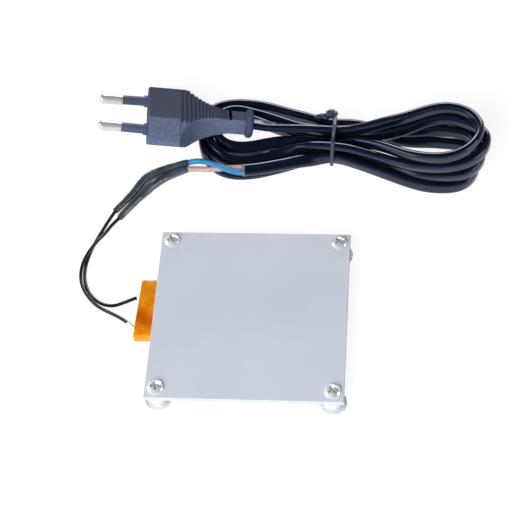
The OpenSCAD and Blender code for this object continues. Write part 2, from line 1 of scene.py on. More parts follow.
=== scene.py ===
# %% [markdown]
# # A heating platform and its mains cord
# The real thing is a square aluminium plate on four short feet, with a flat electric heater
# glued under it. Two thin leads run from the heater to a flat mains cord, which is tied in a
# hank and ends in a flat plug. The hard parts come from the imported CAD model. This lesson
# gives them their finishes, and makes new what bends or is moulded: the cords, sleeves,
# tubing, film and tie, and the plug's body.

# %% The frame
import math
import bpy
import numpy as np
from mathutils import Matrix, Vector


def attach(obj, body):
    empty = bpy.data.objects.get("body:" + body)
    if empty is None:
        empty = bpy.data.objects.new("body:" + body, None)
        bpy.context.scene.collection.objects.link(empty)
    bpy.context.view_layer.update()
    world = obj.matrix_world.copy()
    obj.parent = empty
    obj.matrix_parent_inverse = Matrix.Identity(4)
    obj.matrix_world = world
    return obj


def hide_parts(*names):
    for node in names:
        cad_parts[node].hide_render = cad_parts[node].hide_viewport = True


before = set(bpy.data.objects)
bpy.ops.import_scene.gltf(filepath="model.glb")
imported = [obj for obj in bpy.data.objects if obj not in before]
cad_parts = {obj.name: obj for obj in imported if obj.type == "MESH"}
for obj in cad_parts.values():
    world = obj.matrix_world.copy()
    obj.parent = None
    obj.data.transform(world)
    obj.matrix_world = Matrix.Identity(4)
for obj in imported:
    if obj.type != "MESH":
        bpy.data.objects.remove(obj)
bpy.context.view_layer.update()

# %% [markdown]
# All lengths below are in millimetres from the middle of the plate, with Z = 0 on the table,
# as in the part's source. One function turns them into metres in the shared frame.

# %% Places
CENTRE_X = 2.625


def place(points):
    """Plate-centred millimetres to metres in the frame: X moves by the plate's centre."""
    p = np.array(points, float)
    p[..., 0] += CENTRE_X
    return p * 0.001


# %% [markdown]
# ## The camera
# A photograph of a square plate with four screws gives the camera's place by itself: there is
# one viewpoint from which all four corners fall on their pixels. The lens is long, so the
# picture is nearly parallel. The camera is turned about its own axis a little as well.

# %% Camera
YAW, RISE, ROLL = 0.17705, 0.98112, -0.13212
SIGHT = [56.91, -289.92, 486.43]
FOCAL_PIXELS, FRAME_PIXELS, SENSOR = 1566.12, 512, 36.0

back = Vector((math.sin(YAW)*math.cos(RISE), -math.cos(YAW)*math.cos(RISE), math.sin(RISE)))
level = Vector((0, 0, 1)).cross(back).normalized()
upright = back.cross(level)
right = math.cos(ROLL)*level + math.sin(ROLL)*upright
above = -math.sin(ROLL)*level + math.cos(ROLL)*upright

camera = bpy.data.objects.new("camera", bpy.data.cameras.new("camera"))
bpy.context.scene.collection.objects.link(camera)
camera.matrix_world = Matrix.Translation(place(SIGHT)) @ Matrix(
    (right, above, back)).transposed().to_4x4()
camera.data.sensor_width = SENSOR
camera.data.lens = SENSOR*FOCAL_PIXELS/FRAME_PIXELS
camera.data.clip_start, camera.data.clip_end = 0.01, 10
bpy.context.scene.camera = camera
print("camera lens", round(camera.data.lens, 1), "mm")

# %% [markdown]
# ## Tools for surfaces
# A cord could be a curve with a bevel, but a flat cord also twists, and its end has to be
# shaped. So each cord here is a section carried along a smooth line, worked out with numpy as
# whole arrays. The same grid of points serves for the plug, the film and the tubing.

# %% A smooth line
SAMPLES_PER_POINT, TILT_SPAN = 40, 13


def smooth_line(points, step):
    """A natural cubic spline through the points over their chord length, read at equal steps.

    Its second derivatives m solve h0*m0 + 2*(h0 + h1)*m1 + h1*m2 = 6*(slope1 - slope0) at
    each inner point, with h the chords. A fourth column, such as a tilt or a radius, is
    read in straight steps between the points and then averaged over its neighbours.
    """
    rows = np.array(points, float)
    p = rows[:, :3]
    n = len(p)
    h = np.linalg.norm(np.diff(p, axis=0), axis=1)
    t = np.concatenate([[0], np.cumsum(h)])
    slope = np.diff(p, axis=0)/h[:, None]
    system, right_side = np.eye(n), np.zeros_like(p)
    i = np.arange(1, n - 1)
    system[i, i - 1], system[i, i], system[i, i + 1] = h[:-1], 2*(h[:-1] + h[1:]), h[1:]
    right_side[1:-1] = 6*np.diff(slope, axis=0)
    m = np.linalg.solve(system, right_side)

    def at(s):
        k = np.clip(np.searchsorted(t, s, side="right") - 1, 0, n - 2)
        w = h[k][:, None]
        u, v = (s - t[k])[:, None], (t[k + 1] - s)[:, None]
        return ((m[k]*v**3 + m[k + 1]*u**3)/(6*w) + (p[k]/w - m[k]*w/6)*v
                + (p[k + 1]/w - m[k + 1]*w/6)*u)

    dense = np.linspace(0, t[-1], SAMPLES_PER_POINT*n)
    run = np.concatenate([[0], np.cumsum(np.linalg.norm(np.diff(at(dense), axis=0), axis=1))])
    count = int(round(run[-1]/step)) + 1
    s = np.interp(np.linspace(0, run[-1], count), run, dense)
    line = at(s)
    if rows.shape[1] == 3:
        return line, np.zeros(count)
    value = np.interp(s, t, rows[:, 3])
    soft = np.hanning(TILT_SPAN)/np.hanning(TILT_SPAN).sum()
    padded = np.pad(value, TILT_SPAN//2, mode="edge")
    return line, np.convolve(padded, soft, mode="valid")


def unit(v):
    return v/np.linalg.norm(v, axis=-1, keepdims=True)


def frames_along(line, tilt):
    """Forward, side and up at each point.

    Side is level and to the right, and the tilt turns side and up about forward.
    """
    forward = unit(np.gradient(line, axis=0))
    side = unit(np.cross(forward, [0, 0, 1]))
    up = np.cross(side, forward)
    a = np.radians(tilt)[:, None]
    return forward, np.cos(a)*side + np.sin(a)*up, np.cos(a)*up - np.sin(a)*side


def length_of(line):
    return float(np.linalg.norm(np.diff(line, axis=0), axis=1).sum())


# %% Grids and meshes


def grid_quads(rows, columns, wrap_rows=False, flip=False):
    """Quads between neighbouring rows; the columns close into a ring.

    wrap_rows joins the last row to the first, and flip turns the faces over.
    """
    i = np.arange(rows if wrap_rows else rows - 1)[:, None]
    k = np.arange(columns)[None, :]
    i1, k1 = (i + 1) % rows, (k + 1) % columns
    quads = np.stack([i*columns + k, i1*columns + k, i1*columns + k1, i*columns + k1], -1)
    quads = quads.reshape(-1, 4)
    return quads[:, ::-1] if flip else quads


def piece_from_grids(name, grids, material, sharp=40, wrap_rows=False, flip=False):
    """One object from one or more grids of points in plate-centred millimetres.

    Each grid is (rows, columns, 3) with rings as rows. Its first and last ring are capped,
    unless the rows wrap round. Edges bent by more than sharp degrees stay crisp.
    """
    points, faces, start = [], [], 0
    for g in grids:
        rows, columns = g.shape[:2]
        faces += (grid_quads(rows, columns, wrap_rows, flip) + start).tolist()
        if not wrap_rows:
            first = start + np.arange(columns)
            last = start + (rows - 1)*columns + np.arange(columns)
            faces += [(first if not flip else first[::-1]).tolist(),
                      (last[::-1] if not flip else last).tolist()]
        points.append(g.reshape(-1, 3))
        start += rows*columns
    mesh = bpy.data.meshes.new(name)
    mesh.from_pydata(place(np.concatenate(points)).tolist(), [], faces)
    mesh.update()
    mesh.shade_smooth()
    mesh.set_sharp_from_angle(angle=math.radians(sharp))
    mesh.materials.append(material)
    piece = bpy.data.objects.new(name, mesh)
    bpy.context.scene.collection.objects.link(piece)
    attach(piece, "root")
    print(name, len(mesh.vertices), "points,", len(mesh.polygons), "faces")
    return piece


def round_section(radius, columns=20):
    a = 2*np.pi*np.arange(columns)/columns
    return radius*np.stack([np.cos(a), np.sin(a)], -1)


def carried(line, tilt, section, scale=None):
    """Rings line + x*side + y*up for each section point (x, y), scaled ring by ring."""
    _, side, up = frames_along(line, tilt)
    size = np.ones(len(line)) if scale is None else scale
    s = size[:, None, None]*section[None]
    return line[:, None] + s[..., :1]*side[:, None] + s[..., 1:]*up[:, None]


# %% [markdown]
# ## Tools for materials
# A material here is one Principled shader with nodes for what varies over it: colour in soft
# patches, roughness, and a fine relief. Every pattern's scale is a size in millimetres.

# %% Node helpers
# A noise stays near 0.5, so only this middle of it is stretched over tones and roughness
TONES_FROM, TONES_TO, ROUGH_FROM, ROUGH_TO = 0.35, 0.65, 0.3, 0.7


def linear(colour):
    """An sRGB hex colour as linear RGBA.

    Each channel s becomes s/12.92 up to 0.04045, and ((s + 0.055)/1.055)^2.4 above.
    """
    s = np.array([int(colour[i:i + 2], 16) for i in (1, 3, 5)])/255
    return (*np.where(s <= 0.04045, s/12.92, ((s + 0.055)/1.055)**2.4).tolist(), 1.0)


def add(tree, kind, inputs=None, **settings):
    """Adds a node, sets its properties, and feeds its inputs with values or other sockets."""
    made = tree.nodes.new("ShaderNode" + kind)
    for key, value in settings.items():
        setattr(made, key, value)
    for key, value in (inputs or {}).items():
        socket = made.inputs[key]
        if isinstance(value, bpy.types.NodeSocket):
            tree.links.new(value, socket)
        else:
            socket.default_value = value
    return made


def per_mm(size):
    """A texture's scale, for a pattern that repeats about every so many millimetres."""
    return 1000/size


def surface(name, dark, light, patch, roughness, grain, relief, **shader):
    """A finish with soft patches of two tones and a fine relief, sizes in millimetres.

    Colour runs from dark to light with a noise of that patch size. Roughness runs between
    two values with the same noise. The relief is a second noise of the grain's size.
    """
    made = bpy.data.materials.new(name)
    made.use_nodes = True
    tree = made.node_tree
    tree.nodes.clear()
    where = add(tree, "TexCoord").outputs["Object"]
    patches = add(tree, "TexNoise", {"Vector": where, "Scale": per_mm(patch), "Detail": 3.0})
    tones = add(tree, "ValToRGB", {"Fac": patches.outputs["Fac"]})
    for stop, at, colour in zip(tones.color_ramp.elements, (TONES_FROM, TONES_TO),
                                (dark, light)):
        stop.position, stop.color = at, linear(colour)
    rough = add(tree, "MapRange", {"Value": patches.outputs["Fac"], "From Min": ROUGH_FROM,
                                   "From Max": ROUGH_TO, "To Min": roughness[0],
                                   "To Max": roughness[1]})
    fine = add(tree, "TexNoise", {"Vector": where, "Scale": per_mm(grain), "Detail": 2.0})
    bump = add(tree, "Bump", {"Height": fine.outputs["Fac"], "Distance": relief*0.001,
                              "Strength": 1.0})
    body = add(tree, "BsdfPrincipled", {"Base Color": tones.outputs["Color"],
                                        "Roughness": rough.outputs["Result"],
                                        "Normal": bump.outputs["Normal"], **shader})
    add(tree, "OutputMaterial", {"Surface": body.outputs["BSDF"]})
    return made


# %% [markdown]
# ## The mains cord
# A flat two-core cord is 3.2 mm thick and 5.2 mm wide, and bends easily only across its
# thickness. That is why the hank's folds stand on edge. The route below is one line from the
# plug to the cut end. It passes the tie many times: between the passes it goes round the
# right folds from the top down, and round the left ones from the inside out. Each point has a
# tilt: 0 lies flat, and 90 stands on edge, with what was its right side on top.

# %% The cord's route
CORD_W, CORD_T = 5.2, 3.2
ROUTE = [
    # From the plug's collar to the tie, over the hank
    (-5.0, 87.4, 7.08, 16), (-3.4, 87.45, 6.75, 16), (-0.5, 87, 6.6, 18), (4.2, 85.8, 7.2, 32),
    (8.2, 84.9, 7.9, 48), (12.2, 84, 8.6, 65), (16.1, 83.3, 9.1, 78), (20, 82.8, 9.3, 86),
    (26.2, 82.5, 9.3, 90),
    # Up to the first fold on the right, on top of the others
    (31.6, 82, 10, 90), (39.4, 81.6, 12.6, 92), (47, 82, 15.5, 95), (54.5, 83, 17.4, 95),
    (62, 85.7, 17.9, 92), (70.3, 87.4, 17.8, 90), (78.5, 84.5, 17.8, 90), (82.3, 78, 18, 90),
    (79.5, 69.5, 18.2, 88), (74, 65.1, 18.2, 88), (69, 63.5, 18.2, 92), (62.2, 64.2, 17.2, 98),
    (54.8, 67.5, 14.9, 98), (47.2, 72.7, 12, 96), (39.4, 77.3, 8.8, 92), (31.6, 80.1, 5.6, 90),
    (26.2, 80.2, 4.1, 90),
    # Inner fold on the left
    (18, 81.1, 3.8, 75), (12, 81.5, 3.3, 50), (6, 81.7, 2.7, 32), (0, 80.8, 2.4, 26),
    (-6, 79.5, 2.3, 26), (-11, 79.2, 2.5, 34), (-15.6, 80.4, 3.1, 62), (-18.9, 84.6, 4, 92),
    (-18.6, 89.3, 4, 104), (-15, 92.9, 3.3, 98), (-10, 93.7, 2.9, 92), (-4, 92, 2.8, 90),
    (3.6, 88.7, 2.9, 90), (11.6, 85.6, 3.4, 90), (18, 84.2, 3.9, 90), (26.2, 83.4, 4.1, 90),
    # Second fold on the right
    (31.4, 83.4, 4.4, 90), (39.3, 82, 6.8, 96), (47, 80.8, 10, 104), (54.6, 81.6, 12.1, 108),
    (62.1, 84.5, 13, 104), (70.2, 85.7, 13.1, 95), (79, 82.9, 13.2, 91), (84.8, 77.2, 13.1, 90),
    (83.7, 71, 13, 90), (78.8, 65.9, 13, 88), (73.4, 63.6, 13, 90), (67.9, 62.8, 12.9, 96),
    (62.3, 63.4, 12.1, 100), (54.8, 65.9, 10.2, 100), (47.2, 69.5, 8.7, 100),
    (39.5, 72.5, 8.4, 104), (31.9, 74.4, 9.1, 112), (26.2, 75.1, 9.3, 118),
    # Middle fold on the left
    (20.3, 75.6, 8.8, 112), (16.4, 75.9, 7.5, 90), (12.4, 76.1, 5.8, 62), (8.5, 75.7, 4.4, 42),
    (4.6, 75.1, 3.2, 30), (0, 74.5, 2.4, 24), (-6, 73.4, 2.2, 22), (-12, 73.4, 2.4, 30),
    (-17.5, 75.9, 2.8, 56), (-21.4, 81, 3.2, 86), (-21.7, 88, 3.3, 98), (-19, 94.1, 3.1, 98),
    (-13.5, 97.3, 2.9, 94), (-7, 96.5, 2.8, 90), (-0.5, 94.4, 2.8, 90), (7.6, 91.1, 3.1, 90),
    (14, 88.5, 3.6, 90), (20, 87.3, 4, 90), (26.2, 86.6, 4.1, 90),
    # Third fold on the right
    (30.5, 86.9, 3.7, 90), (35, 86.9, 3.9, 94), (40, 86.1, 5.2, 100), (45, 85.3, 6.9, 106),
    (49, 84.6, 7.6, 112), (57, 84, 7.9, 112), (66, 84.3, 8.1, 104), (71.4, 83.7, 8.2, 96),
    (78.8, 81.3, 8.3, 91), (82.6, 76, 8, 90), (83, 71, 7.8, 92), (80.2, 66.1, 7.8, 92),
    (75.5, 63.3, 7.7, 92), (69.9, 62.5, 7.6, 96), (62.4, 63.3, 6.7, 98),
    (54.8, 66.8, 4.7, 98), (47.1, 71.4, 3, 96), (39.4, 74.4, 2.9, 96), (31.7, 76.4, 3.9, 92),
    (26.2, 77, 4.1, 90),
    # Outer fold on the left
    (21, 75.7, 3.9, 75), (16.3, 73.9, 3.1, 50), (12.5, 72.5, 2.6, 34), (6.5, 70.5, 2.2, 24),
    (0, 68.6, 2, 21), (-6, 67.4, 2, 21), (-12.5, 67.5, 2.2, 30), (-18.7, 70.3, 2.5, 58),
    (-22.7, 75.2, 2.7, 84), (-24.6, 82, 2.7, 92), (-24.6, 90, 2.7, 96), (-21.8, 97.2, 2.7, 95),
    (-15.2, 100.2, 2.7, 92), (-7.3, 100.4, 2.7, 90), (0, 99, 2.8, 90), (9, 95.8, 3.2, 90),
    (18, 92.5, 3.8, 90), (26.2, 90, 4.1, 90),
    # Lowest fold on the right
    (31, 90.3, 3.6, 90), (36, 90.2, 3, 94), (41, 88.9, 2.7, 100), (46, 86.3, 2.7, 106),
    (51, 84, 2.7, 112), (57, 82.9, 2.7, 114), (66, 82.6, 2.7, 110), (71.5, 82, 2.7, 98),
    (77, 80.5, 3.1, 92), (80.6, 75.2, 2.7, 90), (80.9, 69.5, 2.7, 92), (78.4, 64.4, 2.7, 92),
    (74.2, 61.8, 2.7, 84), (69.5, 61.1, 2.7, 80), (62.5, 61.6, 2.7, 80),
    (54.9, 64, 2.7, 80), (47.3, 67.2, 2.7, 84), (39.5, 70.4, 2.8, 92),
    (31.8, 72.8, 3.6, 94), (26.2, 73.7, 4.1, 90),
    # Through the tie to the cut end, on the left folds
    (20, 72.3, 4.8, 60), (15, 70.9, 5.4, 25), (10, 69.6, 5.6, 0), (4, 68.2, 5.5, 0),
    (-1, 67.1, 5.5, 0), (-7, 66.2, 5.5, 0)]
cord_line, cord_tilt = smooth_line(ROUTE, step=0.7)
print("mains cord", round(length_of(cord_line)), "mm along its middle")

# %% [markdown]
# The cord's section is a stadium: two half circles joined by short flats, which is what a
# flat sheath looks like. The sheath is soft PVC. It comes from the die smooth and shiny, and
# handling leaves faint waves in it, so its highlights wander a little.

# %% The cord's sheath


def stadium(width, thickness, arc=12, flat=3):
    """Two half circles of radius thickness/2, moved apart to the full width."""
    r, shift = thickness/2, (width - thickness)/2
    a = np.linspace(-np.pi/2, np.pi/2, arc)
    right_half = np.stack([shift + r*np.cos(a), r*np.sin(a)], -1)
    along = np.linspace(shift, -shift, flat + 2)[1:-1]
    top = np.stack([along, np.full(flat, r)], -1)
    return np.concatenate([right_half, top, -right_half, -top])


# Soft PVC: near black and glossy, and what it mirrors turns slate blue
black_pvc = surface("soft_pvc_black", "#060914", "#0b101f", 18, (0.13, 0.18), 5.0, 0.006,
                    **{"Specular IOR Level": 0.85, "Specular Tint": linear("#b9c9f2")})
mains_cord = piece_from_grids(
    "mains_cord", [carried(cord_line, cord_tilt, stadium(CORD_W, CORD_T))],
    black_pvc, sharp=60)

# %% [markdown]
# Where the sheath was cut off for stripping, its edge is pale and a little swollen. A short
# rounded end piece stands for that edge. It runs from just past the cord's end back into it.

# %% The cut edge
CUT_LENGTH, CUT_PAST, CUT_SWELL, CUT_ROUNDING, CUT_RINGS = 1.5, 0.9, 0.12, 0.22, 9
cut_from = cord_line[-1] + unit(cord_line[-1] - cord_line[-2])*CUT_PAST
cut_run = np.linspace(0, 1, CUT_RINGS)[:, None]
cut_line = cut_from + (cord_line[-1] - cut_from)*cut_run*CUT_LENGTH/CUT_PAST
cut_swell = 1 - CUT_ROUNDING*np.abs(2*cut_run[:, 0] - 1)**5
# Sheath cut with a knife: the same PVC, whitened and rough
cut_pvc = surface("soft_pvc_cut_edge_grey", "#555c60", "#7b8388", 1.2, (0.6, 0.75), 0.4, 0.05)
cord_cut = piece_from_grids(
    "cord_cut_edge", [carried(cut_line, np.zeros(CUT_RINGS),
                              stadium(CORD_W + CUT_SWELL, CORD_T + CUT_SWELL), cut_swell)],
    cut_pvc, sharp=60)

# %% [markdown]
# ## The leads and their white sleeves
# Two thin silicone leads come out of the heater through short white sleeves, lie down on the
# table and swing round to the splices. Their routes are those of the CAD model.

# %% The leads
LEAD_D, SLEEVE_D, SLEEVE_GAP = 1.3, 2.1, 0.07
LEAD_FAR = [
    (-41, 9, 4), (-42.4, 8.7, 3.9), (-45.4, 8, 3), (-48.4, 7.4, 1.8), (-51, 7, 1),
    (-53.5, 7.1, 0.7), (-56.2, 7.9, 0.7), (-59, 9.8, 0.7), (-61.4, 12.6, 0.7),
    (-63.1, 16.2, 0.7), (-64, 20.1, 0.7), (-64.1, 24, 0.7), (-63.6, 28, 0.7),
    (-62.7, 32, 0.7), (-61.4, 36, 0.7), (-59.9, 40, 0.7), (-58.1, 44.4, 0.8),
    (-55.6, 49.4, 1.3)]
LEAD_NEAR = [
    (-41, -5.5, 4), (-43, -4.2, 3.9), (-44.6, -2.3, 3.6), (-48, 0.7, 2.6),
    (-51.8, 3.3, 1.4), (-54.6, 5, 0.8), (-57.6, 6.9, 0.7), (-61.1, 10.3, 0.7),
    (-63.8, 14.4, 0.7), (-65.3, 18.8, 0.7), (-65.4, 23.6, 1.2), (-64.2, 27.8, 2),
    (-62.6, 31.4, 2.1), (-60.6, 35.4, 1.7), (-58.5, 39.2, 0.9), (-56.4, 42.8, 0.9),
    (-53.6, 46.2, 1.3)]

# Silicone rubber: black, a little duller than PVC
black_silicone = surface("silicone_lead_black", "#07080b", "#0f1015", 6, (0.25, 0.35), 1.2,
                         0.012, **{"Specular IOR Level": 0.5})
leads, lead_lines = {}, {}
for side_name, points in (("far", LEAD_FAR), ("near", LEAD_NEAR)):
    lead_lines[side_name], flat = smooth_line(points, step=0.8)
    leads[side_name] = piece_from_grids(
        "lead_" + side_name, [carried(lead_lines[side_name], flat,
                                      round_section(LEAD_D/2, 16))],
        black_silicone)

# %% [markdown]
# A sleeve is an open tube, so its grid runs out along the outside, over the lip and back
# along the inside, and its rows close into a ring.

# %% The sleeves
# Woven glass fibre with silicone: off-white, matt, with a faint weave
white_sleeve = surface("glass_fibre_sleeve_white", "#eeeeea", "#fbfaf6", 1.2, (0.5, 0.65),
                       0.35, 0.012)
SLEEVES = {"far": [(-38.7, 9, 4), (-41, 9, 4), (-42.4, 8.7, 3.9)],
           "near": [(-38.7, -5.5, 4), (-41, -5.5, 4), (-43, -4.2, 3.9), (-44.6, -2.3, 3.6)]}
for side_name, points in SLEEVES.items():
    line, flat = smooth_line(points, step=0.4)
    outer = carried(line, flat, round_section(SLEEVE_D/2, 20))
    inner = carried(line, flat, round_section(LEAD_D/2 + SLEEVE_GAP, 20))
    piece_from_grids(
        "sleeve_" + side_name, [np.concatenate([outer, inner[::-1]])],
        white_sleeve, wrap_rows=True)

# %% [markdown]
# ## Splices under heat-shrink tubing
# Each lead is crimped to a core of the cord, and tubing is shrunk over the joint. It bulges
# over the crimp and narrows to the wires at both ends, with small wrinkles between.

# %% Heat-shrink tubing
# Each point's fourth number is the radius of what lies inside the tubing there
SPLICE_FAR = [(-55.6, 49.4, 1.3, 0.9), (-51.8, 54.5, 1.5, 0.9), (-48.5, 59.6, 1.7, 1.1),
              (-45.6, 64.2, 1.8, 1.3), (-42.4, 66.8, 1.8, 1.3), (-38.4, 68.9, 1.7, 1.2),
              (-34.3, 70.7, 1.6, 1.1), (-30, 72.3, 1.6, 1.1)]
SPLICE_NEAR = [(-53.6, 46.2, 1.3, 0.9), (-50.4, 50.9, 1.5, 1), (-47.3, 55.3, 1.6, 1.2),
               (-44.6, 58.6, 1.9, 1.5), (-42.2, 61.4, 2, 1.6), (-39.9, 63.5, 1.8, 1.4),
               (-37, 65.6, 1.6, 1.2), (-33.8, 67.4, 1.6, 1.1), (-30, 69.1, 1.6, 1.1)]
SHRINK_WALL, SHRINK_OVERHANG = 0.4, 0.35
PINCH, PINCH_LENGTH, WRINKLE = 0.15, 0.5, 0.07
WAVES_ALONG, WAVES_ROUND = (0.9, 1.7, 2.9, 4.1, 5.3), (1, 2, 1, 3, 2)


def shrunk_tube(points, seed, columns=28):
    """Radius = joint + wall, a little less at the ends, plus wrinkles.

    The wrinkles are a few sines of the length and the angle, with seeded phases. The end
    rings stand a little beyond the joint.
    """
    line, radius = smooth_line(points, step=0.35)
    along = np.linspace(0, length_of(line), len(line))[:, None]
    angle = (2*np.pi*np.arange(columns)/columns)[None]
    phase = np.random.default_rng(seed).uniform(0, 2*np.pi, (len(WAVES_ALONG), 2))
    wrinkle = sum(np.sin(along*f + np.sin(angle*n + a)*1.2 + b)/(i + 2)
                  for i, (f, n, (a, b)) in enumerate(zip(WAVES_ALONG, WAVES_ROUND, phase)))
    pinch = PINCH*np.exp(-np.minimum(along, along[::-1])/PINCH_LENGTH)
    r = radius[:, None] + SHRINK_WALL - pinch + WRINKLE*wrinkle
    forward, side, up = frames_along(line, np.zeros(len(line)))
    line[0] -= SHRINK_OVERHANG*forward[0]
    line[-1] += SHRINK_OVERHANG*forward[-1]
    return (line[:, None] + (r*np.cos(angle))[..., None]*side[:, None]
            + (r*np.sin(angle))[..., None]*up[:, None])


# Polyolefin: dark grey, half glossy, with soft wrinkles from the shrinking
shrink_film = surface("polyolefin_shrink_grey", "#2f3840", "#3f4b55", 5, (0.1, 0.18), 1.6,
                      0.045, **{"Specular IOR Level": 1.0})
shrinks = {
    side_name: piece_from_grids("shrink_" + side_name, [shrunk_tube(points, seed)],
                                shrink_film)
    for side_name, points, seed in (("far", SPLICE_FAR, 3), ("near", SPLICE_NEAR, 8))}

# %% [markdown]
# ## The two cores
# The cord's sheath is stripped, and its blue and brown cores run on into the tubing. Each
# one starts at its crimp, in the middle of the tubing.

# %% Blue and brown
CORE_D = 2.2
CORE_BLUE = [(-45.6, 64.2, 1.8), (-42.4, 66.8, 1.8), (-38.4, 68.9, 1.7), (-34.3, 70.7, 1.6),
             (-30, 72.3, 1.6), (-27.5, 72.6, 2.1), (-25, 72, 3.2), (-22.6, 70.6, 4.6),
             (-20.5, 69.4, 5.6), (-18.5, 68.2, 6.2), (-16.4, 67, 6.5), (-14, 66, 6.4),
             (-11, 65.2, 5.9), (-7, 64.9, 5.5)]
CORE_BROWN = [(-44.6, 58.6, 1.9), (-42.2, 61.4, 2), (-39.9, 63.5, 1.8), (-37, 65.6, 1.6),
              (-33.8, 67.4, 1.6), (-30, 69.1, 1.6), (-25.4, 69.1, 1.9), (-22.6, 68.7, 2.4),
              (-20.4, 68.2, 3.1), (-18.5, 67.6, 4.1), (-16.4, 67.2, 5), (-12, 67.3, 5.4),
              (-7, 67.5, 5.5)]

# Core insulation: PVC in even, saturated colours, satin
blue_pvc = surface("pvc_insulation_blue", "#12709e", "#2084b2", 6, (0.3, 0.4), 1.5, 0.01)
brown_pvc = surface("pvc_insulation_brown", "#a2827f", "#b9999a", 6, (0.3, 0.4), 1.5, 0.01)
cores, core_lines = {}, {}
for colour, points, paint in (("blue", CORE_BLUE, blue_pvc), ("brown", CORE_BROWN, brown_pvc)):
    core_lines[colour], flat = smooth_line(points, step=0.8)
    cores[colour] = piece_from_grids(
        "insulated_core_" + colour, [carried(core_lines[colour], flat,
                                             round_section(CORE_D/2, 20))],
        paint)

# %% [markdown]
# ## The wire tie
# A tie is a soft wire with a plastic skin. It is pulled round the hank's waist and its ends
# are twisted, then curled into a small knot with a tail. The loop follows the strands: over
# the upper ones, down their near and far sides, and under them all.

# %% The tie
TIE_D = 1.5
TIE_LOOP = [(27.3, 83.4, 12.6), (27.1, 79, 12.6), (26.9, 75, 12.4), (26.8, 73, 11.2),
            (26.6, 71.9, 8.6), (26.4, 71.4, 5.4), (26.3, 71.5, 2.8), (26.2, 72.8, 1.15),
            (26.2, 75.5, 0.88), (26.2, 80, 0.86), (26.2, 85, 0.86), (26.2, 88.8, 0.88),
            (26.2, 91.3, 1.2), (26.4, 92.5, 2.9), (26.7, 92.6, 5), (27, 91.8, 7.2),
            (27.2, 89.6, 9.6), (27.3, 86.8, 11.6)]
# Two twisted pairs, the curl and the tail: turns, radius, start, end and lift of the twist,
# then the wire's radius and the points round it
TWISTS = [(1.6, 1.1, (27.5, 89.5, 9.7), (24.1, 89.8, 9.9), 1.3, TIE_D/2, 12),
          (2.5, 0.5, (25, 89.8, 9.7), (19.8, 90.2, 8.3), 0.3, 0.5, 10)]
TWIST_RINGS = 90


def closed_line(points, step):
    """The middle round of a smooth line that goes round the points three times.

    The middle round starts and ends where the line comes closest to the first point.
    """
    p = np.array(points, float)
    line, _ = smooth_line(np.concatenate([p, p, p, p[:1]]), step)
    d = np.linalg.norm(line - p[0], axis=1)
    k = len(line)//3
    a = np.argmin(d[k//2:3*k//2]) + k//2
    b = np.argmin(d[3*k//2:5*k//2]) + 3*k//2
    return line[a:b]


def knot_line(turns, radius, start, end, lift, phase):
    """A helix round a bowed axis from start to end: the axis rises by lift in its middle."""
    u = np.linspace(0, 1, TWIST_RINGS)[:, None]
    start, end = np.array(start, float), np.array(end, float)
    axis = start + (end - start)*u + np.array([0, 0, lift])*np.sin(np.pi*u)
    across = unit(np.cross(end - start, [0, 0, 1]))
    over = unit(np.cross(across, end - start))
    a = 2*np.pi*turns*u + phase
    return axis + radius*(np.cos(a)*across + np.sin(a)*over)


# Tie wire: steel in a thin satin plastic skin
tie_skin = surface("tie_wire_skin_black", "#222839", "#353c52", 4, (0.3, 0.42), 0.8, 0.015,
                   **{"Specular IOR Level": 0.7})
loop = closed_line(TIE_LOOP, step=0.7)
forward = unit(np.roll(loop, -1, axis=0) - np.roll(loop, 1, axis=0))
outward = unit(np.cross(forward, [1, 0, 0]))
across = np.cross(outward, forward)
wire = round_section(TIE_D/2, 14)
loop_grid = (loop[:, None] + wire[None, :, :1]*across[:, None]
             + wire[None, :, 1:]*outward[:, None])
hank_tie = piece_from_grids("tie_loop", [loop_grid], tie_skin, wrap_rows=True)
twisted = [carried(knot_line(*twist, phase), np.zeros(TWIST_RINGS),
                   round_section(wire_radius, columns))
           for *twist, wire_radius, columns in TWISTS for phase in (0, np.pi)]
piece_from_grids("tie_knot", twisted, tie_skin)

# %% [markdown]
# ## The plug
# The plug is moulded in one shot of PVC over the pins: a wide body with slanted long sides,
# then a ribbed neck, a slotted block and a round collar. Its surface is a loft. At each
# station along it, the section's radius in a direction d comes from all of its side planes
# together: 1/r^p is the sum of (n.d/h)^p over the planes that face d, where n is a plane's
# normal and h its distance. A high p leaves crisp edges with a small radius.

# %% The plug's stations
# The plug's own X runs from the nose to the tail, and its Z points up
PLUG_AT, PLUG_TURNS = np.array([-45, 84.6, 15.6]), (("X", -16), ("Y", 12), ("Z", 4))
BODY_W, BODY_H, FLAT_W, SIDE_H = 35.3, 13.7, 19.3, 2.0
RIBS_FROM, RIBS_TO, RIB_FIRST, RIB_LAST, RIB_DEPTH = 11.5, 31.2, 1.9, 0.9, 0.55
GROOVE_DELAY, GROOVE_STOP, GROOVE_ROUNDNESS = 0.55, 0.7, 0.6
NECK_H, NECK_W, SWEEP, FLARE, SHOULDER = 6.8, 6.6, 20.0, 16.0, 12.5
BLOCK_W, BLOCK_X = 6.2, (31.3, 31.4, 32.4, 32.5, 35, 37.9)
SLOT_FROM, SLOT_TO, SLOT_FLOOR, SLOT_WALL = 31.35, 32.45, 1.35, 0.35
COLLAR_FROM, PLUG_END, COLLAR_D, COLLAR_EDGE = 38.0, 41.0, 11.2, 1.4
EDGE, BODY_RINGS, NECK_RINGS = 0.45, 10, 260


def flank(x):
    """Half width of the neck: a circle of the sweep's radius, which the flare cuts off."""
    gap = np.clip(RIBS_TO - x, 0, None)
    arc = NECK_W/2 + SWEEP - np.sqrt(np.clip(SWEEP**2 - gap**2, 0, None))
    return np.minimum(arc, FLARE)


def crown(x):
    """Half height under the ribs' crests: level on the body, then a straight slope."""
    return np.interp(x, [RIBS_FROM, RIBS_TO], [BODY_H/2, NECK_H/2])


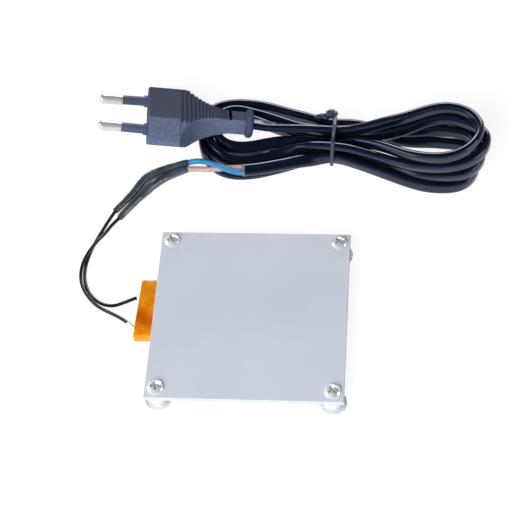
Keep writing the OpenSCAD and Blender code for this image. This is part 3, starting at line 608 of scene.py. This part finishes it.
def groove(x):
    """Depth of the grooves: a rounded notch in the first half of each pitch.

    The pitch shrinks evenly towards the tail, from first to last, so the number of ribs up
    to x is length/(first - last)*ln(first/pitch at x). The first groove starts a little
    after the ribs' start, and the last one is left out where it would run into the block.
    """
    length, shrink = RIBS_TO - RIBS_FROM, RIB_FIRST - RIB_LAST
    pitch = RIB_FIRST - shrink*np.clip((x - RIBS_FROM)/length, 0, 1)
    u = length/shrink*np.log(RIB_FIRST/pitch) - GROOVE_DELAY
    wave = np.clip(np.sin(2*np.pi*(u % 1.0)), 0, None)**GROOVE_ROUNDNESS
    inside = (u > 0) & (u < int(length/shrink*np.log(RIB_FIRST/RIB_LAST) - GROOVE_STOP))
    return np.where(inside, RIB_DEPTH*(pitch/RIB_FIRST)**0.5*wave, 0)


# Stations: place along the plug, half width, upper and lower half height
rounding = np.linspace(0, np.pi/2, 5)
lip = EDGE*(1 - np.sin(rounding))
body_x = np.concatenate([EDGE*(1 - np.cos(rounding)), np.linspace(0.6, 11.4, BODY_RINGS),
                         SHOULDER - EDGE*(1 - np.cos(rounding[::-1]))])
body_drop = np.concatenate([lip, np.zeros(BODY_RINGS), lip[::-1]])
body_w = BODY_W/2 - body_drop
body_h = crown(body_x) - np.where(body_x < SHOULDER/2, body_drop, 0)
neck_x = np.linspace(SHOULDER, RIBS_TO, NECK_RINGS)
neck_w, neck_h = flank(neck_x), crown(neck_x)
stations = np.concatenate([
    np.stack([body_x, body_w, body_h, body_h], -1),
    np.stack([neck_x, neck_w, neck_h - groove(neck_x), neck_h], -1),
    [(x, BLOCK_W/2, NECK_H/2, NECK_H/2) for x in BLOCK_X]])
print("plug stations", len(stations))

# %% The plug's loft
# More directions near the section's eight corners: four on top and below, four at the sides
DIRECTIONS, SIDE_CORNER, CROWDING, CROWD_WIDTH = 176, 0.06, 6, 0.05
turn = np.linspace(0, 2*np.pi, 4001)
corners = [a for c in (math.atan2(BODY_H/2, FLAT_W/2), SIDE_CORNER)
           for a in (c, np.pi - c, np.pi + c, 2*np.pi - c)]
density = 1 + sum(CROWDING*np.exp(
    -((turn - c + np.pi) % (2*np.pi) - np.pi)**2/CROWD_WIDTH**2) for c in corners)
share = np.concatenate([[0], np.cumsum(density[:-1])])
directions = np.interp(np.linspace(0, share[-1], DIRECTIONS + 1)[:-1], share, turn)
dy, dz = np.cos(directions), np.sin(directions)

slant = np.array([BODY_H/2 - SIDE_H/2, BODY_W/2 - FLAT_W/2])
slant = slant/np.linalg.norm(slant)
SLANT_AT = slant[0]*BODY_W/2 + slant[1]*SIDE_H/2
SHARPNESS = 36


def softened(half_w, top, bottom, drop):
    """Radius in every direction, from the two sides, top, bottom and four slanted planes.

    The slanted planes lie nearer by the drop.
    """
    planes = [(dy, half_w), (-dy, half_w), (dz, top), (-dz, bottom)]
    planes += [(s*slant[0]*dy + t*slant[1]*dz, SLANT_AT - drop)
               for s in (1, -1) for t in (1, -1)]
    total = sum((np.clip(facing, 0, None)[None]/h[:, None])**SHARPNESS
                for facing, h in planes)
    return total**(-1/SHARPNESS)


drop = np.concatenate([body_drop, np.zeros(len(stations) - len(body_drop))])
# The collar is round, with full edges: rings of its own after the block's last one
ring = np.linspace(0, np.pi/2, 8)
collar_x = np.concatenate([COLLAR_FROM + COLLAR_EDGE*(1 - np.cos(ring)),
                           PLUG_END - COLLAR_EDGE*(1 - np.sin(ring))])
collar_r = COLLAR_D/2 - COLLAR_EDGE*(1 - np.concatenate([np.sin(ring), np.cos(ring)]))
radius = np.concatenate([softened(*stations[:, 1:].T, drop),
                         np.tile(collar_r[:, None], (1, DIRECTIONS))])
plug_x = np.concatenate([stations[:, 0], collar_x])


def plug_turns():
    """The roll about X, then the pitch about Y, then the yaw about Z, as one matrix."""
    turns = Matrix.Identity(3)
    for axis, degrees in PLUG_TURNS:
        turns = Matrix.Rotation(math.radians(degrees), 3, axis) @ turns
    return np.array(turns)


def on_plug(points):
    """Turns points in plug millimetres and moves them to the plug's place."""
    return points @ plug_turns().T + PLUG_AT


plug_grid = np.stack([np.tile(plug_x[:, None], (1, DIRECTIONS)),
                      radius*dy[None], radius*dz[None]], -1)
off_middle = np.abs(plug_grid[..., 1])
# Underneath, the grooves stop short of the edges, so that the lower outline stays smooth
GROOVES_TO, GROOVES_FADE = 0.84, 0.08
under = plug_grid[..., 2] < 0
inner = np.clip((GROOVES_TO - off_middle/flank(plug_x)[:, None])/GROOVES_FADE, 0, 1)
ribbed = (plug_x > SHOULDER) & (plug_x < RIBS_TO)
plug_grid[..., 2] += np.where(under & ribbed[:, None], groove(plug_x)[:, None]*inner, 0)
# The slot is a pocket across the block's top, between thin walls
slotted = (plug_x > SLOT_FROM) & (plug_x < SLOT_TO)
pocket = slotted[:, None] & ~under & (off_middle < BLOCK_W/2 - SLOT_WALL)
plug_grid[..., 2] = np.where(pocket, SLOT_FLOOR, plug_grid[..., 2])

# %% The plug's finishes
# Moulded PVC: slate black, matt, with the fine spark texture of its mould
plug_pvc = surface("moulded_pvc_slate", "#3b435f", "#464f6d", 9, (0.6, 0.72), 0.4, 0.08,
                   **{"Specular IOR Level": 0.1})
plug_body = piece_from_grids("plug_body", [on_plug(plug_grid)], plug_pvc,
                             sharp=38, flip=True)
# On the slanted sides and round the nose's rim the mould is rougher, and the PVC is paler:
# partly its own rougher finish, partly painted light standing in for the front light there
side_pvc_with_painted_light = surface("moulded_pvc_slate_rough_painted_light", "#4f5973", "#606a84", 0.9, (0.7, 0.8), 0.5,
                   0.16, **{"Specular IOR Level": 0.1})
# Down in the slot the same PVC is smooth. It is painted nearly black: painted shade for the
# shadow deep in the narrow slot
slot_pvc_painted_shade = surface("moulded_pvc_slot_painted_shade", "#08090d", "#0f1117", 4, (0.6, 0.7), 0.6, 0.02,
                   **{"Specular IOR Level": 0.2})
plug_body.data.materials.append(side_pvc_with_painted_light)
plug_body.data.materials.append(slot_pvc_painted_shade)

# A face belongs to a material by its ring, its direction and where its normal points
SIDEWAYS, ENDWAYS, UPWARDS, RIM_RINGS = 0.35, 0.9, 0.72, 6
polygons = plug_body.data.polygons
facing = np.empty(3*len(polygons))
polygons.foreach_get("normal", facing)
facing = np.abs(facing.reshape(-1, 3) @ plug_turns())
ring_of_face, direction_of_face = np.divmod(np.arange(len(polygons)), DIRECTIONS)
before_collar = ring_of_face < int(np.sum(plug_x <= COLLAR_FROM)) - 1
# Side and rim faces get the paler PVC, which is partly painted light
on_side = before_collar & (facing[:, 1] > SIDEWAYS)
on_rim = (ring_of_face < RIM_RINGS) & (facing[:, 0] > ENDWAYS)
# Faces down in the slot get the painted shade
slot_rings = np.flatnonzero(slotted)
in_slot = ((ring_of_face >= slot_rings[0] - 1) & (ring_of_face <= slot_rings[-1])
           & (dz[direction_of_face] > UPWARDS))
material_of_face = np.where(in_slot, 2, np.where(on_side | on_rim, 1, 0))
polygons.foreach_set("material_index", material_of_face.astype(np.int32))

# %% [markdown]
# ## The heater's film
# The flat heater is wrapped in amber polyimide film, folded round its long edges. The film
# is thin and tight, but it creases where it is folded in at the lead end.

# %% The film wrap
HEATER_X, HEATER_Y, HEATER_MID = (-41.0, 31.0), 3.2, 4.0
FILM_W, HEATER_T, FILM_R, FILM_SKEW = 24.4, 4.4, 1.0, 0.9
END_ROUNDING, CREASE, CREASE_FADE = 0.35, 0.0035, 7


def film_ring(inset, count=160):
    """A rounded rectangle: points by arc length, with quarter circles at its corners."""
    w, h = FILM_W/2 - inset, HEATER_T/2 - inset
    r = FILM_R - inset
    a = np.linspace(0, np.pi/2, 8)
    quarters = [(w - r + r*np.cos(a), h - r + r*np.sin(a)),
                (-w + r - r*np.sin(a), h - r + r*np.cos(a)),
                (-w + r - r*np.cos(a), -h + r - r*np.sin(a)),
                (w - r + r*np.sin(a), -h + r - r*np.cos(a))]
    loop_points = np.concatenate([np.stack(q, -1) for q in quarters])
    loop_points = np.concatenate([loop_points, loop_points[:1]])
    run = np.concatenate([[0], np.cumsum(np.linalg.norm(np.diff(loop_points, axis=0), axis=1))])
    s = np.linspace(0, run[-1], count + 1)[:-1]
    return np.stack([np.interp(s, run, loop_points[:, j]) for j in (0, 1)], -1)


# Rings stand close together at the lead end, where the creases are
straight = np.concatenate([np.linspace(-40.4, -34, 34), np.linspace(-33, 30.4, 60)])
end_run, end_inset = END_ROUNDING*(1 - np.cos(rounding)), END_ROUNDING*(1 - np.sin(rounding))
film_x = np.concatenate([HEATER_X[0] + end_run, straight, HEATER_X[1] - end_run[::-1]])
film_inset = np.concatenate([end_inset, np.zeros(len(straight)), end_inset[::-1]])
film = np.stack([film_ring(float(i)) for i in film_inset])
fade = np.exp(-(film_x - HEATER_X[0])/CREASE_FADE)[:, None]
# Creases: two slanted waves over the film's width and length
crease = (np.sin(film[..., 0]*0.9 + film_x[:, None]*1.9)
          + 0.6*np.sin(film[..., 0]*2.3 - film_x[:, None]*1.1 + 1.3))
film = film*(1 - CREASE*fade[..., None]*(1 + crease[..., None]))
film_grid = np.stack([np.tile(film_x[:, None], (1, film.shape[1])),
                      HEATER_Y + film[..., 0], HEATER_MID + film[..., 1]], -1)
# The film is wound a little askew, so its near corner sticks out further
film_grid[..., 0] -= FILM_SKEW*(0.5 - film[..., 0]/FILM_W)*fade

# Polyimide film: clear amber that deepens where it lies in several turns
amber_film = surface("polyimide_film_amber", "#b65200", "#d98a00", 8, (0.2, 0.3), 2.5, 0.04,
                     **{"Specular IOR Level": 0.3})
heater_wrap = piece_from_grids("heater_wrap", [film_grid], amber_film,
                               sharp=50, flip=True)

# %% [markdown]
# ## Finishes for the CAD parts
# The plate, screws, feet, pins with their sleeves, and inner parts keep their CAD shape. Their
# plain materials are swapped for procedural ones.

# %% Finishes of the hard parts
# Anodised aluminium: satin, pale blue-grey
anodised = surface("anodised_aluminium_satin", "#bcc2cd", "#c0c6d1", 30, (0.4, 0.42), 0.4,
                   0.002, Metallic=0.1, **{"Specular IOR Level": 0.3})
# Nickel-plated steel: bright, with slight haze
nickel = surface("nickel_plated_steel", "#dfe1e4", "#eceef0", 2, (0.14, 0.2), 0.8, 0.006,
                 Metallic=0.6)
# Plug pins: the same plating, tumbled satin
satin_nickel = surface("nickel_plated_pin_satin", "#c6c6c9", "#d2d2d5", 4, (0.24, 0.28), 1.5,
                       0.002, Metallic=0.6)
# Feet: plated brass, turned on a lathe
turned = surface("nickel_plated_feet", "#d7dbe0", "#e8ebef", 3, (0.2, 0.3), 0.5, 0.012,
                 Metallic=0.45)
# Inner parts: white silicone, rolled aluminium, PTC ceramic and tinned brass
silicone = surface("silicone_adhesive_white", "#d8d6ce", "#eeece4", 4, (0.45, 0.6), 1.0, 0.05)
electrode = surface("rolled_aluminium", "#a9acb0", "#bfc2c6", 8, (0.3, 0.45), 0.6, 0.01,
                    Metallic=1.0)
ceramic = surface("ptc_ceramic", "#3d3934", "#55504a", 2, (0.7, 0.85), 0.3, 0.03)
brass = surface("tinned_brass", "#a98a52", "#c9a96a", 2, (0.3, 0.45), 0.6, 0.02, Metallic=1.0)
# The pins' sleeves: the plug's PVC, smooth. Their carrier is hard nylon
sleeve_pvc = surface("pin_sleeve_pvc_slate", "#3f475e", "#495169", 5, (0.38, 0.48), 0.6,
                     0.015, **{"Specular IOR Level": 0.3})
carrier = surface("pin_carrier_nylon", "#34363c", "#44474e", 5, (0.5, 0.6), 0.8, 0.02)

FINISHES = {
    "heating_plate": anodised, "corner_screws": nickel,
    "foot_front_left": turned, "foot_front_right": turned,
    "foot_back_left": turned, "foot_back_right": turned,
    "bond_layer": silicone, "end_seal": silicone,
    "upper_electrode": electrode, "lower_electrode": electrode, "ptc_chips": ceramic,
    "lead_crimps": brass, "splice_far": brass, "splice_near": brass,
    "plug_pin_far": satin_nickel, "plug_pin_near": satin_nickel,
    "pin_sleeve_far": sleeve_pvc, "pin_sleeve_near": sleeve_pvc,
    "pin_carrier": carrier, "plug_crimps": brass, "plug_cores": blue_pvc}
for name, finish in FINISHES.items():
    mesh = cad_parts[name].data
    mesh.materials.clear()
    mesh.materials.append(finish)
print("finished", len(FINISHES), "CAD parts")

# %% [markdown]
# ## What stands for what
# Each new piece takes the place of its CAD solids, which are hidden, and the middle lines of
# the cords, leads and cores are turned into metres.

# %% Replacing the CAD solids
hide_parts("cord_hank", "cord_plug_run")
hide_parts("cord_cut_end")
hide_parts("plug_moulding")
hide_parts("heater_film")
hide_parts("hank_tie")
for side_name in ("far", "near"):
    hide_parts("lead_wire_" + side_name)
    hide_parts("lead_sleeve_" + side_name)
    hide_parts("heat_shrink_" + side_name)
for colour in ("blue", "brown"):
    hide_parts("core_" + colour)

cord_path = place(cord_line[::-1])
for side_name in ("far", "near"):
    path = place(lead_lines[side_name])
for colour in ("blue", "brown"):
    path = place(core_lines[colour])

# %% [markdown]
# ## Floor and light
# The photograph is a studio picture on white. The floor takes the object's soft shadow, and
# to the camera it glows just enough to reach white where no shadow falls. The room has white
# walls and a dark ceiling, so glossy black stays black on top. A wide soft box in front gives
# the even light, and three bright cards, behind and at the sides, draw the long highlights.

# %% Floor
FLOOR_REACH, FLOOR_GLOW, FLOOR_SHARE, FLOOR_BOUNCE = 2, 0.88, 0.2, 0.8
floor_mesh = bpy.data.meshes.new("floor")
floor_mesh.from_pydata([(x*FLOOR_REACH, y*FLOOR_REACH, 0)
                        for x, y in ((-1, -1), (1, -1), (1, 1), (-1, 1))], [], [(0, 1, 2, 3)])
floor = bpy.data.objects.new("floor", floor_mesh)
bpy.context.scene.collection.objects.link(floor)
paper = bpy.data.materials.new("paper_floor_white")
paper.use_nodes = True
tree = paper.node_tree
tree.nodes.clear()
rays = add(tree, "LightPath").outputs
# Camera, glossy and transmission rays see the glowing paper, and the rest see a plain one
seen = add(tree, "Math", {0: rays["Is Camera Ray"], 1: rays["Is Glossy Ray"]},
           operation="MAXIMUM")
seen = add(tree, "Math", {0: seen.outputs[0], 1: rays["Is Transmission Ray"]},
           operation="MAXIMUM")
glow = add(tree, "Emission", {"Color": (1, 1, 1, 1), "Strength": FLOOR_GLOW})
shade = add(tree, "BsdfDiffuse", {"Color": (FLOOR_SHARE, FLOOR_SHARE, FLOOR_SHARE, 1)})
both = add(tree, "AddShader", {0: glow.outputs[0], 1: shade.outputs[0]})
plain = add(tree, "BsdfDiffuse", {"Color": (FLOOR_BOUNCE, FLOOR_BOUNCE, FLOOR_BOUNCE, 1)})
mixed = add(tree, "MixShader", {0: seen.outputs[0], 1: plain.outputs[0], 2: both.outputs[0]})
add(tree, "OutputMaterial", {"Surface": mixed.outputs[0]})
floor_mesh.materials.append(paper)

# %% World and lamps
HORIZON, OVERHEAD, WALLS_TO, CEILING_FROM = 1.0, 0.08, 0.08, 0.6
world = bpy.data.worlds.new("studio")
bpy.context.scene.world = world
world.use_nodes = True
tree = world.node_tree
tree.nodes.clear()
rays = add(tree, "LightPath").outputs
seen = add(tree, "Math", {0: rays["Is Camera Ray"], 1: rays["Is Transmission Ray"]},
           operation="MAXIMUM")
# White walls all round that fade to a dark ceiling. The camera sees plain white everywhere
direction = add(tree, "SeparateXYZ", {"Vector": add(tree, "TexCoord").outputs["Generated"]})
walls = add(tree, "MapRange", {"Value": direction.outputs["Z"], "From Min": WALLS_TO,
                               "From Max": CEILING_FROM, "To Min": HORIZON,
                               "To Max": OVERHEAD})
level_of_sky = add(tree, "Math", {0: seen.outputs[0], 1: walls.outputs[0]},
                   operation="MAXIMUM")
sky = add(tree, "Background", {"Color": (1, 1, 1, 1), "Strength": level_of_sky.outputs[0]})
add(tree, "OutputWorld", {"Surface": sky.outputs[0]})


def soft_box(name, at, aim, width, depth, watts, shines=True, mirrored=True):
    """A lamp in metres. It lights surfaces if it shines, and shows in them if mirrored."""
    lamp = bpy.data.lights.new(name, "AREA")
    lamp.shape, lamp.size, lamp.size_y, lamp.energy = "RECTANGLE", width, depth, watts
    made = bpy.data.objects.new(name, lamp)
    bpy.context.scene.collection.objects.link(made)
    facing = (Vector(aim) - Vector(at)).to_track_quat("-Z", "Y").to_matrix().to_4x4()
    made.matrix_world = Matrix.Translation(at) @ facing
    made.visible_diffuse, made.visible_glossy = shines, mirrored


soft_box("soft_box_front", (-0.2, -0.42, 0.41), (0, 0.04, 0), 0.5, 0.5, 6.4, mirrored=False)
soft_box("card_behind", (0.1, 0.75, 0.4), (0.02, 0.06, 0), 0.8, 0.34, 7.5, shines=False)
soft_box("card_left", (-0.68, -0.14, 0.28), (0.0, 0.06, 0), 0.5, 0.2, 1.3, shines=False)
soft_box("card_right", (0.75, -0.1, 0.34), (0.05, 0.06, 0), 0.4, 0.2, 1.3, shines=False)
bpy.context.scene.view_settings.view_transform = "Standard"
